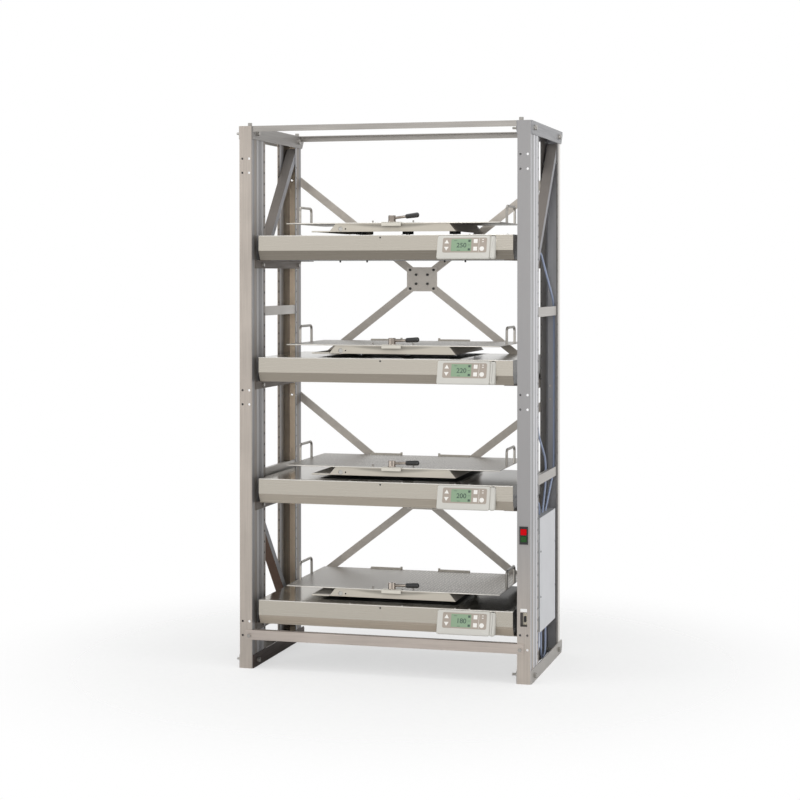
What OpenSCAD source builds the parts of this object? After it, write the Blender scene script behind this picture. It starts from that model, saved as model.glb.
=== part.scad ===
// Rack with four orbital shakers, one above the other

/* [Frame] */
// Width over the uprights
rack_w = 1135; // [1125:1:1160]
// Height of the uprights
rack_h = 2080; // [2070:1:2120]
// Depth from front faces to rear faces of the uprights
rack_d = 600; // [600:1:630]
// Width of an upright's flange
upright_w = 50; // [48:1:56]
// Depth of the long wall of an upright
upright_d = 155; // [150:1:165]
// Depth of the short wall of an upright
short_d = 70; // [66:1:76]
// Sheet thickness of the uprights
sheet = 2.5; // [2:0.1:3]
// Height of the side end plates
plate_h = 50; // [46:1:54]
// Thickness of the side end plates
plate_t = 4; // [3:0.5:5]
// Overhang of the end plates behind the rear uprights
plate_tail = 30; // [26:1:36]
// Pitch of the small wall holes
hole_pitch = 42.3; // [40:0.1:46]
// Diameter of the small wall holes
hole_d = 7; // [5:0.5:8]

/* [Bracing] */
// Height of the lowest hole cluster in the flanges
cluster_z = 154; // [150:1:160]
// Width of a rear brace arm
arm_w = 30; // [26:1:34]
// Thickness of a rear brace arm
arm_t = 8; // [6:0.5:9]
// Height of the lower gusset centre
gusset_z = 605; // [590:1:612]
// Height between the two gusset centres
gusset_pitch = 887; // [876:1:896]
// Rise of a brace arm from gusset to upright
arm_rise = 420; // [405:1:420]
// Height of a side crossbar
bar_h = 36; // [30:1:40]

/* [Shakers] */
// Height of the lowest deck
deck_z = 262; // [258:1:270]
// Pitch of the levels
level_pitch = 466; // [460:1:470]
// Width of a deck
deck_w = 996; // [985:1:1002]
// Depth of a deck
deck_d = 565; // [560:1:570]
// Set-back of the front panels behind the upright faces
deck_y = 20; // [19:0.5:22]
// Height of the shaker housing
base_h = 93; // [91:1:96]
// Height of the upright part of the front panel
panel_h = 57; // [52:1:60]
// Sheet thickness of the housings
skin = 1.5; // [1.2:0.1:2]

/* [Drive] */
// Eccentricity of the orbit
ecc = 12.5; // [10:0.5:12.5]
// Diameter of the eccentric pins
pin_d = 16; // [14:1:18]
// Distance of an idler crank from the drive axis
idler_x = 190; // [180:1:200]
// Radial running clearance of shafts and pins
run_gap = 0.05; // [0.03:0.01:0.08]
// Radial clearance of the idler pins in the carrier
loose_gap = 0.4; // [0.3:0.05:0.6]

/* [Trays] */
// Width of a tray
tray_w = 842; // [820:1:870]
// Depth of a tray
tray_d = 484; // [470:1:486]
// Tray sheet thickness
tray_t = 2; // [1.5:0.1:2.5]
// Height of the carrier above the deck underside clearance
carrier_h = 32; // [30:1:34]
// Width of the carrier at its foot
carrier_w = 500; // [490:1:520]
// Wire diameter of a tray handle
wire_d = 10; // [6:0.5:12]
// Height of a tray handle
handle_h = 65; // [55:1:78]
// Clearance between tray and carrier
slide_gap = 0.1; // [0.1:0.05:0.3]

/* [Console] */
// Width of a console
console_w = 220; // [200:1:230]
// Height of a console
console_h = 88; // [80:1:92]

/* [Hidden] */

hw = rack_w / 2;
in_x = hw - upright_w;
plate_end = rack_d + plate_tail;
rail_t = 3;
head_h = 7;
y_mid = (plate_end - rail_t - head_h) / 2;
bolt_in = 52;
bolt_r = 5;
cap_in = 13;
cap_y = 14;
fit = 0.3;

// Level 1 is the lowest
function deck(k) = deck_z + (k - 1) * level_pitch;

// Middle of the drive in the depth of the rack
drive_in = 312;
drive_y = deck_y + drive_in;
carrier_foot = 15;
carrier_top = carrier_foot + carrier_h;
tray_y = drive_y - tray_d / 2;
tray_z = carrier_top + slide_gap;
cluster = [cluster_z, cluster_z + gusset_pitch, cluster_z + 2 * gusset_pitch];
cluster_dx = 27;
cluster_dz = 54;
cluster_r = 4.5;
kick_z = cluster[0] - cluster_dz / 2;
kick_h = 37;
kick_flange = 26;
top_rail_h = 22;
top_rail_d = 30;
switch_z = 550;
socket_z = 239;
low_bar_over = 7;
high_bar_over = 175;
bar_z = [deck(2) + low_bar_over, deck(3) + high_bar_over];
n_holes = floor((rack_h - 260) / hole_pitch);

module shift_all() {
  translate([0, -y_mid, 0]) children();
}

module x_cyl(r, l) {
  rotate([0, 90, 0]) cylinder(r = r, h = l, $fn = 32);
}

module y_cyl(r, l) {
  rotate([-90, 0, 0]) cylinder(r = r, h = l, $fn = 32);
}

// Upright standing with its flange on the XZ plane, long wall on the right
// inward is 1 where the rack's middle is on the right, -1 where it is on the left
module upright_shape(inward) {
  difference() {
    union() {
      cube([upright_w, sheet, rack_h]);
      translate([upright_w - sheet, 0, 0]) cube([sheet, upright_d, rack_h]);
      cube([sheet, short_d, rack_h]);
      translate([0, 0, rack_h - sheet]) cube([upright_w, short_d, sheet]);
    }
    for (i = [0 : n_holes]) {
      translate([upright_w - 2 * sheet, upright_d - 12, 130 + i * hole_pitch]) x_cyl(hole_d / 2, 3 * sheet);
      translate([-sheet, short_d - 12, 130 + i * hole_pitch]) x_cyl(hole_d / 2, 3 * sheet);
    }
    for (y = [55, 78, 110, 133]) {
      translate([upright_w - 0.8, y, plate_h + 8]) cube([3, 2.5, rack_h - 2 * plate_h - 16]);
    }
    for (z = cluster, dz = [-cluster_dz / 2, cluster_dz / 2], dx = [-cluster_dx / 2, cluster_dx / 2]) {
      translate([upright_w / 2 + dx, -1, z + dz]) y_cyl(cluster_r, sheet + 2);
    }
    for (z = [plate_h / 2, rack_h - plate_h / 2]) {
      translate([-1, bolt_in, z]) x_cyl(bolt_r + fit, upright_w + 2);
    }
    translate([upright_w / 2 + inward * cap_in, cap_y, rack_h - 2 * sheet])
      cylinder(r = 4 + fit, h = 3 * sheet, $fn = 32);
  }
}

module front_left_upright() {
  color("silver") shift_all() translate([-hw, 0, 0]) upright_shape(1);
}

module front_right_upright() {
  color("silver") shift_all() translate([in_x, 0, 0]) difference() {
    upright_shape(-1);
    translate([upright_w / 2 - 13, -1, switch_z - 29]) cube([26, sheet + 2, 58]);
    translate([upright_w / 2 - 13, -1, socket_z - 26]) cube([26, sheet + 2, 52]);
  }
}

module rear_left_upright() {
  color("silver") shift_all() translate([-in_x, rack_d, 0]) rotate([0, 0, 180]) upright_shape(-1);
}

module rear_right_upright() {
  color("silver") shift_all() translate([hw, rack_d, 0]) rotate([0, 0, 180]) upright_shape(1);
}

// End plate outline along the side of the rack, cut off at one rear corner
module end_plate(low) {
  rotate([90, 0, 90]) linear_extrude(height = plate_t) difference() {
    polygon(low
      ? [[5, 0], [plate_end - 14, 0], [plate_end, 14], [plate_end, plate_h - 8], [plate_end - 8, plate_h],
        [5, plate_h]]
      : [[5, 0], [plate_end - 26, 0], [plate_end, plate_h - 14], [plate_end, plate_h], [5, plate_h]]);
    for (y = [bolt_in, rack_d - bolt_in]) {
      translate([y, plate_h / 2]) circle(r = bolt_r + fit, $fn = 32);
    }
  }
}

module plate_set(low) {
  for (x = [-hw - plate_t, -in_x, in_x - plate_t, hw]) {
    translate([x, 0, low ? 0 : rack_h - plate_h]) end_plate(low);
  }
}

module top_plates() {
  color("silver") shift_all() plate_set(false);
}

module foot_plates() {
  color("silver") shift_all() plate_set(true);
}

top_rail_l = 2 * (in_x - plate_t);

module front_top_rail() {
  color("silver") shift_all() translate([-top_rail_l / 2, 4, rack_h - top_rail_h]) union() {
    cube([top_rail_l, rail_t, top_rail_h]);
    translate([0, 0, top_rail_h - rail_t]) cube([top_rail_l, top_rail_d, rail_t]);
  }
}

module rear_top_rail() {
  color("silver") shift_all() translate([-top_rail_l / 2, rack_d - 4 - rail_t, rack_h - top_rail_h]) union() {
    cube([top_rail_l, rail_t, top_rail_h]);
    translate([0, rail_t - top_rail_d, top_rail_h - rail_t]) cube([top_rail_l, top_rail_d, rail_t]);
  }
}

kick_x = in_x + upright_w / 2 - cluster_dx / 2;
kick_end = 14;

module front_kick_rail() {
  color("silver") shift_all() difference() {
    union() {
      translate([-kick_x - kick_end, -rail_t, kick_z - kick_h / 2 + rail_t])
        cube([2 * (kick_x + kick_end), rail_t, kick_h]);
      translate([-in_x + 2, -rail_t, kick_z + kick_h / 2]) cube([2 * in_x - 4, kick_flange, rail_t]);
    }
    for (s = [-1, 1]) {
      translate([s * kick_x, -rail_t - 1, kick_z]) y_cyl(4 + fit, rail_t + 2);
    }
  }
}

// Side bars lie on the inner face of the right-hand wall of each side frame
module side_crossbars() {
  color("silver") shift_all() for (x = [-in_x - sheet - 3, hw - sheet - 3], z = bar_z) {
    difference() {
      union() {
        translate([x, 20, z - bar_h / 2]) cube([3, rack_d - 40, bar_h]);
        translate([x - 12, upright_d + 10, z + bar_h / 2 - 3]) cube([15, rack_d - 2 * upright_d - 20, 3]);
      }
      for (y = [45, rack_d - 45]) {
        translate([x - 1, y, z]) x_cyl(4 + fit, 5);
      }
    }
  }
}

diag_w = 38;
diag_h = 28;

// Diagonal channel between two points of the side plane, with its web to the front
module diagonal(p, q) {
  l = norm(q - p);
  a = atan2(q[1] - p[1], q[0] - p[0]);
  web = a > 0 ? -sheet : sheet;
  translate([0, p[0], p[1]]) rotate([a, 0, 0]) difference() {
    translate([0, 0, -diag_h / 2]) cube([diag_w, l, diag_h]);
    translate([sheet, -1, web - diag_h / 2]) cube([diag_w - 2 * sheet, l + 2, diag_h]);
  }
}

diag_top = [[upright_d - 9, rack_h - 535], [rack_d - 44, rack_h - 62]];
diag_low = [[upright_d - 15, 545], [rack_d - 48, 74]];

module side_diagonals() {
  color("dimgray") shift_all() union() {
    translate([-in_x - sheet - diag_w, 0, 0]) diagonal(diag_top[0], diag_top[1]);
    translate([hw - sheet - diag_w, 0, 0]) diagonal(diag_top[0], diag_top[1]);
    translate([-in_x - sheet - diag_w, 0, 0]) diagonal(diag_low[0], diag_low[1]);
  }
}

arm_run = hw - upright_w / 2;
arm_l = sqrt(arm_run * arm_run + arm_rise * arm_rise);
arm_a = atan2(arm_rise, arm_run);
gussets = [gusset_z, gusset_z + gusset_pitch];
quads = [[1, 1], [-1, 1], [-1, -1], [1, -1]];
arm_holes = [30, 62];

// One brace arm in the XZ plane, seen from the front
module arm(sx, sz) {
  mirror([sx < 0 ? 1 : 0, 0, 0]) mirror([0, 0, sz < 0 ? 1 : 0]) rotate([0, -arm_a, 0]) difference() {
    translate([21, 0, -arm_w / 2]) cube([arm_l - 21 + 14, arm_t, arm_w]);
    for (x = [arm_holes[0], arm_holes[1], arm_l]) {
      translate([x, -1, 0]) y_cyl(3 + fit, arm_t + 2);
    }
  }
}

module rear_brace_arms() {
  color("silver") shift_all() for (z = gussets, q = quads) {
    translate([0, rack_d, z]) arm(q[0], q[1]);
  }
}

module gusset_plates() {
  color("silver") shift_all() for (z = gussets) {
    difference() {
      translate([-63, rack_d - 4, z - 49]) cube([126, 4, 98]);
      for (q = quads, r = arm_holes) {
        translate([q[0] * r * cos(arm_a), rack_d - 5, z + q[1] * r * sin(arm_a)]) y_cyl(3 + fit, 6);
      }
    }
  }
}

// Hex bolt along Y with its head at the front, under-head face at y = 0
module y_bolt(r, af, h, l) {
  rotate([90, 0, 0]) cylinder(r = af / 2 / cos(30), h = h, $fn = 6);
  translate([0, -0.5, 0]) y_cyl(r, l + 0.5);
}

// Hex bolt along X with its head at negative x, under-head face at x = 0
module x_bolt(r, af, h, l) {
  rotate([0, -90, 0]) cylinder(r = af / 2 / cos(30), h = h, $fn = 6);
  translate([-0.5, 0, 0]) x_cyl(r, l + 0.5);
}

rail_lap = 40.5;
rail_end_gap = 6;
rail_end = rack_d - rail_end_gap;
rail_reach = in_x - deck_w / 2 + rail_lap;
rail_bolts_y = [120, rack_d - 45];

module frame_bolts() {
  color("gray") shift_all() union() {
    for (s = [-1, 1], y = [bolt_in, rack_d - bolt_in], z = [plate_h / 2, rack_h - plate_h / 2]) {
      translate([s * (hw - upright_w / 2), y, z]) union() {
        translate([-upright_w / 2 - plate_t, 0, 0]) x_bolt(bolt_r, 17, 10, upright_w + 2 * plate_t);
        translate([upright_w / 2 + plate_t, 0, 0]) rotate([0, 90, 0])
          cylinder(r = 17 / 2 / cos(30), h = 10, $fn = 6);
      }
    }
    for (s = [-1, 1], y = [cap_y, rack_d - cap_y]) {
      translate([s * (hw - upright_w / 2 - cap_in), y, rack_h]) union() {
        cylinder(r = 15 / 2 / cos(30), h = 12, $fn = 6);
        translate([0, 0, -12]) cylinder(r = 4, h = 13, $fn = 32);
      }
    }
    for (s = [-1, 1]) {
      translate([s * kick_x, -rail_t, kick_z]) y_bolt(4, 13, head_h, rail_t + 8);
    }
    for (x = [-in_x - sheet - 3, hw - sheet - 3], z = bar_z, y = [45, rack_d - 45]) {
      translate([x, y, z]) x_bolt(4, 13, 6, 2.8);
    }
    for (s = [-1, 1], k = [1 : 4], y = rail_bolts_y) {
      translate([s * (in_x - rail_t), y, deck(k) - base_h - 18]) mirror([s < 0 ? 1 : 0, 0, 0])
        x_bolt(4, 13, 6, 2.8);
    }
  }
}

module gusset_bolts() {
  color("gray") shift_all() union() {
    for (z = gussets, q = quads, r = arm_holes) {
      translate([q[0] * r * cos(arm_a), rack_d - 4, z + q[1] * r * sin(arm_a)]) y_bolt(3, 10, 5, arm_t + 4);
    }
    for (z = gussets, q = quads) {
      translate([q[0] * arm_run, rack_d + arm_t, z + q[1] * arm_rise]) mirror([0, 1, 0])
        y_bolt(3, 10, 5, arm_t - 0.5);
    }
  }
}

// Angle rail under the shaker, upright leg against the uprights
module support_rail() {
  difference() {
    union() {
      translate([0, 0, -32]) rotate([90, 0, 90]) linear_extrude(height = rail_t)
        polygon([[40, 0], [rail_end - 26, 0], [rail_end, 26], [rail_end, 32], [40, 32]]);
      translate([0, deck_y + 30, -rail_t]) cube([rail_reach, deck_d - 30, rail_t]);
    }
    for (y = rail_bolts_y) {
      translate([-1, y, -18]) x_cyl(4 + fit, rail_t + 2);
    }
  }
}

module support_rails() {
  color("silver") shift_all() for (k = [1 : 4]) {
    translate([-in_x, 0, deck(k) - base_h]) support_rail();
    translate([in_x, 0, deck(k) - base_h]) mirror([1, 0, 0]) support_rail();
  }
}

cab_front_gap = 33;
cab_rear_gap = 30;
cab_y0 = upright_d + cab_front_gap;
cab_y1 = rack_d - short_d - cab_rear_gap;
cab_z0 = 160;
cab_z1 = 591;
cab_x0 = hw - upright_w + sheet;
cab_t = 1.5;

module electrics_cabinet() {
  color("lightgray") shift_all() union() {
    difference() {
      translate([cab_x0, cab_y0, cab_z0]) cube([upright_w - sheet - cab_t, cab_y1 - cab_y0, cab_z1 - cab_z0]);
      translate([cab_x0 + cab_t, cab_y0 + cab_t, cab_z0 + cab_t])
        cube([upright_w, cab_y1 - cab_y0 - 2 * cab_t, cab_z1 - cab_z0 - 2 * cab_t]);
      for (p = loops) {
        translate([cable_x, p[0], cab_z0 - 1]) cylinder(r = cable_r + fit, h = 4, $fn = 32);
      }
      for (y = feeds) {
        translate([cable_x, y, cab_z1 - 3]) cylinder(r = cable_r + fit, h = 4, $fn = 32);
      }
    }
    for (z = [cab_z0 + 60, cab_z1 - 90]) {
      translate([hw - sheet - 3, upright_d - 40, z]) cube([3, cab_y0 - upright_d + 40 + cab_t, 30]);
    }
  }
}

module cabinet_cover() {
  color("whitesmoke") shift_all() union() {
    translate([hw - cab_t, cab_y0, cab_z0]) cube([cab_t, cab_y1 - cab_y0, cab_z1 - cab_z0]);
    translate([hw - 12, cab_y0, cab_z0 - cab_t]) cube([12, cab_y1 - cab_y0, cab_t]);
    for (y = [cab_y0 + 7, cab_y1 - 7], z = [cab_z0 + 131, cab_z1 - 127]) {
      translate([hw - 0.5, y, z]) x_cyl(4, 2);
    }
  }
}

cable_r = 4;
cable_x = hw - upright_w / 2;
loops = [[cab_y0 + 37, 60], [cab_y0 + 97, 60], [cab_y1 - 165, 90], [cab_y1 - 75, 90]];
feeds = [cab_y1 - 200, cab_y1 - 140, cab_y1 - 80];
feed_turn = [100, 190, 190];

// Straight run between two points
module lead(a, b, r) {
  d = b - a;
  l = norm(d);
  translate(a) rotate([0, acos(d[2] / l), atan2(d[1], d[0])]) cylinder(r = r, h = l, $fn = 24);
}

// Run of leads through a list of points with round joints
module lead_run(p, r) {
  for (i = [0 : len(p) - 2]) {
    lead(p[i], p[i + 1], r);
  }
  for (i = [1 : len(p) - 2]) {
    translate(p[i]) sphere(r = r + 0.05, $fn = 24);
  }
}

// Hanging loop from one hole of the cabinet to another
module hang(y0, y1, drop) {
  rr = (y1 - y0) / 2;
  translate([cable_x, y0, cab_z0 - drop]) cylinder(r = cable_r, h = drop + 8, $fn = 24);
  translate([cable_x, y1, cab_z0 - drop]) cylinder(r = cable_r, h = drop + 8, $fn = 24);
  translate([cable_x, y0 + rr, cab_z0 - drop]) rotate([0, 90, 0]) rotate([0, 0, -90])
    rotate_extrude(angle = 180, $fn = 48) translate([rr, 0]) circle(r = cable_r, $fn = 24);
}

module side_cables() {
  color("lightsteelblue") shift_all() union() {
    hang(loops[0][0], loops[1][0], loops[0][1]);
    hang(loops[2][0], loops[3][0], loops[2][1]);
    for (i = [0 : 2]) {
      lead_run([[cable_x, feeds[i], cab_z1 - 8], [cable_x, feeds[i], deck(i + 2) - feed_turn[i]],
        [cable_x - 4, feeds[i] - 80, deck(i + 2) - 60], [deck_w / 2 - 3, feeds[i] - 80, deck(i + 2) - 60]],
        cable_r);
    }
  }
}

module switch_block() {
  color("black") shift_all() translate([hw - upright_w / 2, 0, switch_z]) difference() {
    union() {
      translate([-16, -3, -33]) cube([32, 3, 66]);
      translate([-12.5, -0.5, -28.5]) cube([25, 36, 57]);
    }
    for (z = [13, -13]) {
      translate([-11.5, -4, z - 11.5]) cube([23, 22, 23]);
    }
  }
}

module push_cap(z, d) {
  translate([hw - upright_w / 2, 0, switch_z + z]) union() {
    translate([-11, -3 - d, -11]) cube([22, 14 + d, 22]);
  }
}

module stop_button() {
  color("red") shift_all() push_cap(13, 6);
}

module start_button() {
  color("green") shift_all() push_cap(-13, 4);
}

module socket_insert() {
  color("dimgray") shift_all() translate([hw - upright_w / 2, sheet, socket_z]) difference() {
    translate([-17, 0, -30]) cube([34, 26, 60]);
    translate([-13, -1, -26]) cube([26, 17, 52]);
    translate([-1, 13, -12]) cube([7, 7, 24]);
  }
}

foot_back = 18;
foot_y = deck_y + foot_back;
deck_end = deck_y + deck_d;

// Folded housing: deck, front panel with its crease, side skirts and rear wall
module deck_shape(k) {
  z = deck(k);
  difference() {
    translate([-deck_w / 2, 0, z]) union() {
      rotate([90, 0, 90]) linear_extrude(height = deck_w)
        polygon([[deck_y, 0], [deck_end, 0], [deck_end, -base_h + 2], [deck_end - skin, -base_h + 2],
          [deck_end - skin, -skin], [deck_y + skin, -skin], [deck_y + skin, -panel_h],
          [foot_y + skin, -base_h + 2], [foot_y + skin, -base_h], [foot_y, -base_h], [deck_y, -panel_h]]);
      for (x = [0, deck_w - skin]) {
        translate([x, 0, 0]) rotate([90, 0, 90]) linear_extrude(height = skin)
          polygon([[deck_y, 0], [deck_end, 0], [deck_end, -base_h + 2], [foot_y, -base_h + 2],
            [foot_y, -base_h], [deck_y, -panel_h]]);
      }
    }
    for (x = [-idler_x, 0, idler_x]) {
      translate([x, drive_y, z - 3]) cylinder(r = ecc + pin_d / 2 + 5, h = 6, $fn = 48);
    }
    translate([-13, deck_y - 1, z - 9]) y_cyl(2.5, skin + 2);
    if (k > 1) {
      translate([deck_w / 2 - 5, feeds[k - 2] - 80, z - 60]) x_cyl(cable_r + fit, 8);
    }
  }
}

module deck_cover_1() { color("silver") shift_all() deck_shape(1); }
module deck_cover_2() { color("silver") shift_all() deck_shape(2); }
module deck_cover_3() { color("silver") shift_all() deck_shape(3); }
module deck_cover_4() { color("silver") shift_all() deck_shape(4); }

module base_pans() {
  color("gray") shift_all() for (k = [1 : 4]) {
    translate([-deck_w / 2 + skin, foot_y + skin, deck(k) - base_h])
      cube([deck_w - 2 * skin, deck_d - foot_back - 2 * skin, 2]);
  }
}

motor_h = base_h - 41;
motor_r = 70;
bearing_r = 30;
shaft_r = 9;
rotor_r = 60;
weight_r = 120;
idler_r = 34;

// Upright bearing housing with a blind bore
module housing(r, h) {
  difference() {
    cylinder(r = r, h = h, $fn = 48);
    translate([0, 0, 8]) cylinder(r = shaft_r + run_gap, h = h, $fn = 48);
  }
}

module drive_motors() {
  color("dimgray") shift_all() for (k = [1 : 4]) {
    translate([0, drive_y, deck(k) - base_h + 2]) housing(motor_r, motor_h);
  }
}

module crank_bearings() {
  color("gray") shift_all() for (k = [1 : 4], x = [-idler_x, idler_x]) {
    translate([x, drive_y, deck(k) - base_h + 2]) housing(bearing_r, motor_h);
  }
}

disc_z = -base_h + 2 + motor_h + 2;
disc_h = 18;
pin_top = carrier_top - 8;

// Shaft, disc and eccentric pin pointing along +X of the crank
module crank(k, r) {
  translate([0, 0, deck(k) - base_h + 12]) cylinder(r = shaft_r, h = disc_z + base_h - 11, $fn = 48);
  translate([0, 0, deck(k) + disc_z]) cylinder(r = r, h = disc_h, $fn = 48);
  translate([ecc, 0, deck(k) + disc_z + disc_h - 1])
    cylinder(r = pin_d / 2, h = pin_top - disc_z - disc_h + 1, $fn = 48);
}

module rotor_shape(k) {
  shift_all() translate([0, drive_y, 0]) union() {
    crank(k, rotor_r);
    translate([0, 0, deck(k) + disc_z]) difference() {
      cylinder(r = weight_r, h = disc_h, $fn = 64);
      translate([-20, -weight_r - 10, -1]) cube([weight_r + 40, 2 * weight_r + 20, disc_h + 2]);
    }
  }
}

module drive_rotor_1() { color("gray") rotor_shape(1); }
module drive_rotor_2() { color("gray") rotor_shape(2); }
module drive_rotor_3() { color("gray") rotor_shape(3); }
module drive_rotor_4() { color("gray") rotor_shape(4); }

module idler_shape(k, s) {
  shift_all() translate([s * idler_x, drive_y, 0]) crank(k, idler_r);
}

module left_idler_1() { color("gray") idler_shape(1, -1); }
module left_idler_2() { color("gray") idler_shape(2, -1); }
module left_idler_3() { color("gray") idler_shape(3, -1); }
module left_idler_4() { color("gray") idler_shape(4, -1); }
module right_idler_1() { color("gray") idler_shape(1, 1); }
module right_idler_2() { color("gray") idler_shape(2, 1); }
module right_idler_3() { color("gray") idler_shape(3, 1); }
module right_idler_4() { color("gray") idler_shape(4, 1); }

slant = 27;
carrier_d = tray_d - 6;
wing_w = 70;
wall = 3;
rear_side = 40;
rear_strip = 14;

// Rear hold-downs: bars behind the tray with a lip over a rebate in its rear edge
hold_mid = -14;
hold_x = 143;
hold_w = 128;
hold_t = 6;
hold_h = 8.5;
post_h = 13;
hold_lap = 8;
hold_step = tray_t / 2;
hold_gap = 0.4;
hold_y = tray_d / 2 + hold_gap;
lip_z = carrier_h + slide_gap + tray_t - hold_step + hold_gap;

// Carrier about its own middle: folded channel that is open low at the rear, pin bosses, wing and rear hold-downs
module carrier_shape(k) {
  z = deck(k) + carrier_foot;
  hwc = carrier_w / 2;
  shift_all() translate([ecc, drive_y, z]) difference() {
    union() {
      difference() {
        rotate([90, 0, 0]) translate([0, 0, -carrier_d / 2]) linear_extrude(height = carrier_d)
          polygon([[-hwc, 0], [hwc, 0], [hwc - slant, carrier_h], [-hwc + slant, carrier_h]]);
        rotate([90, 0, 0]) translate([0, 0, -carrier_d / 2 + wall])
          linear_extrude(height = carrier_d - 2 * wall)
          polygon([[-hwc + wall, -1], [hwc - wall, -1], [hwc - slant - wall, carrier_h - wall],
            [-hwc + slant + wall, carrier_h - wall]]);
        translate([-hwc + rear_side, carrier_d / 2 - wall - 1, -1])
          cube([carrier_w - 2 * rear_side, wall + 2, carrier_h - rear_strip + 1]);
      }
      for (x = [-idler_x, 0, idler_x]) {
        translate([x, 0, -6]) cylinder(r = 22, h = carrier_h + 5, $fn = 48);
      }
      translate([-hwc - wing_w, -carrier_d / 2, 0]) cube([wing_w + wall, carrier_d, wall]);
      for (s = [-1, 1]) {
        translate([hold_mid + s * hold_x - hold_w / 2, carrier_d / 2 - 1, carrier_h - 12])
          cube([hold_w, hold_y + hold_t - carrier_d / 2 + 1, 11.5]);
        translate([hold_mid + s * hold_x - hold_w / 2, hold_y, carrier_h - 1]) cube([hold_w, hold_t, hold_h + 1]);
        translate([hold_mid + s * hold_x - hold_w / 2, tray_d / 2 - hold_lap, lip_z])
          cube([hold_w, hold_lap + hold_gap + 1, carrier_h + hold_h - 2 - lip_z]);
        translate([hold_mid + s * (hold_x - hold_w / 2) - 4, hold_y, carrier_h - 1]) cube([8, hold_t, post_h + 1]);
      }
    }
    translate([0, 0, -10]) cylinder(r = pin_d / 2 + run_gap, h = pin_top - carrier_foot + 11, $fn = 48);
    for (s = [-1, 1]) {
      translate([s * idler_x, 0, -10])
        cylinder(r = pin_d / 2 + loose_gap, h = pin_top - carrier_foot + 11, $fn = 48);
    }
    translate([-hwc + 46, -carrier_d / 2 - 1, 11]) y_cyl(9, wall + 2);
    translate([-hwc + 66, -carrier_d / 2 - 1, 11]) y_cyl(3, wall + 2);
  }
}

module carrier_1() { color("ivory") carrier_shape(1); }
module carrier_2() { color("ivory") carrier_shape(2); }
module carrier_3() { color("ivory") carrier_shape(3); }
module carrier_4() { color("ivory") carrier_shape(4); }

handle_l = 145;
handle_edge = 1;
handle_x = tray_w / 2 - wire_d / 2 - handle_edge;
handle_y = 222;
bend_r = 16;
lever_y = 14;
hub_h = 24;
lever_pin_r = 4;

// Tray about the middle of its front edge, under face at z = 0
module tray_shape(k) {
  shift_all() translate([ecc, tray_y, deck(k) + tray_z]) difference() {
    union() {
      translate([-tray_w / 2, 0, 0]) cube([tray_w, tray_d, tray_t]);
      for (s = [-1, 1]) {
        for (y = [-handle_l / 2, handle_l / 2]) {
          translate([s * handle_x, handle_y + y, tray_t - 0.5])
            cylinder(r = wire_d / 2, h = handle_h - bend_r + 0.5, $fn = 24);
          translate([s * handle_x, handle_y + y - sign(y) * bend_r, tray_t + handle_h - bend_r])
            rotate([0, 0, sign(y) * 90]) rotate([90, 0, 0])
            rotate_extrude(angle = 90, $fn = 48) translate([bend_r, 0]) circle(r = wire_d / 2, $fn = 24);
        }
        translate([s * handle_x, handle_y - handle_l / 2 + bend_r, tray_t + handle_h])
          y_cyl(wire_d / 2, handle_l - 2 * bend_r);
        translate([s * 80, 20, tray_t - 0.5]) cylinder(r = 3, h = 9, $fn = 24);
      }
      translate([-38, -8, -10]) cube([76, 8, 10 + tray_t]);
      translate([-38, -8, 0]) cube([76, 34, tray_t + 2]);
    }
    translate([0, lever_y - 8, -1]) cylinder(r = lever_pin_r + run_gap, h = tray_t + 4, $fn = 32);
    for (s = [-1, 1]) {
      translate([hold_mid + s * hold_x - hold_w / 2 - 2, tray_d - hold_lap - 2, tray_t - hold_step])
        cube([hold_w + 4, hold_lap + 3, hold_step + 1]);
    }
  }
}

module tray_1() { color("lightgray") tray_shape(1); }
module tray_2() { color("lightgray") tray_shape(2); }
module tray_3() { color("lightgray") tray_shape(3); }
module tray_4() { color("lightgray") tray_shape(4); }

// Lever about its hub axis, seat face at z = 0
module lever_shape(k) {
  shift_all() translate([ecc, tray_y + lever_y - 8, deck(k) + tray_z + tray_t + 2]) union() {
    translate([0, 0, -tray_t - 1.6]) cylinder(r = lever_pin_r, h = tray_t + 2.6, $fn = 32);
    cylinder(r = 14, h = hub_h, $fn = 48);
    translate([0, 0, 14]) rotate([0, -4, 0]) union() {
      translate([10, 0, 0]) x_cyl(5, 46);
      translate([54, 0, 0]) x_cyl(10, 54);
    }
  }
}

module lock_lever_1() { color("black") lever_shape(1); }
module lock_lever_2() { color("black") lever_shape(2); }
module lock_lever_3() { color("black") lever_shape(3); }
module lock_lever_4() { color("black") lever_shape(4); }

console_in = 177;
console_x = deck_w / 2 - console_in;
console_top = 3;
tilt_d = 28;
console_t = 2;
display_in = 22;
display_w = 168;
display_h = 58;
display_t = 0.8;
display_drop = 9;

module console_shape(k) {
  shift_all() translate([console_x - console_w / 2, deck_y, deck(k) - console_top]) rotate([90, 0, 90])
    linear_extrude(height = console_w)
    polygon([[0, 0], [-console_t, 0], [-console_t - tilt_d, -console_h + 6],
      [-console_t - tilt_d + 3, -console_h], [0, -console_h]]);
}

module console_1() { color("ivory") console_shape(1); }
module console_2() { color("ivory") console_shape(2); }
module console_3() { color("ivory") console_shape(3); }
module console_4() { color("ivory") console_shape(4); }

module display_panels() {
  color("darkseagreen") shift_all() for (k = [1 : 4]) {
    translate([console_x - console_w / 2 + display_in, deck_y - console_t, deck(k) - console_top])
      rotate([-atan2(tilt_d, console_h - 6), 0, 0])
      translate([0, -display_t, -display_drop - display_h]) cube([display_w, display_t, display_h]);
  }
}

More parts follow.
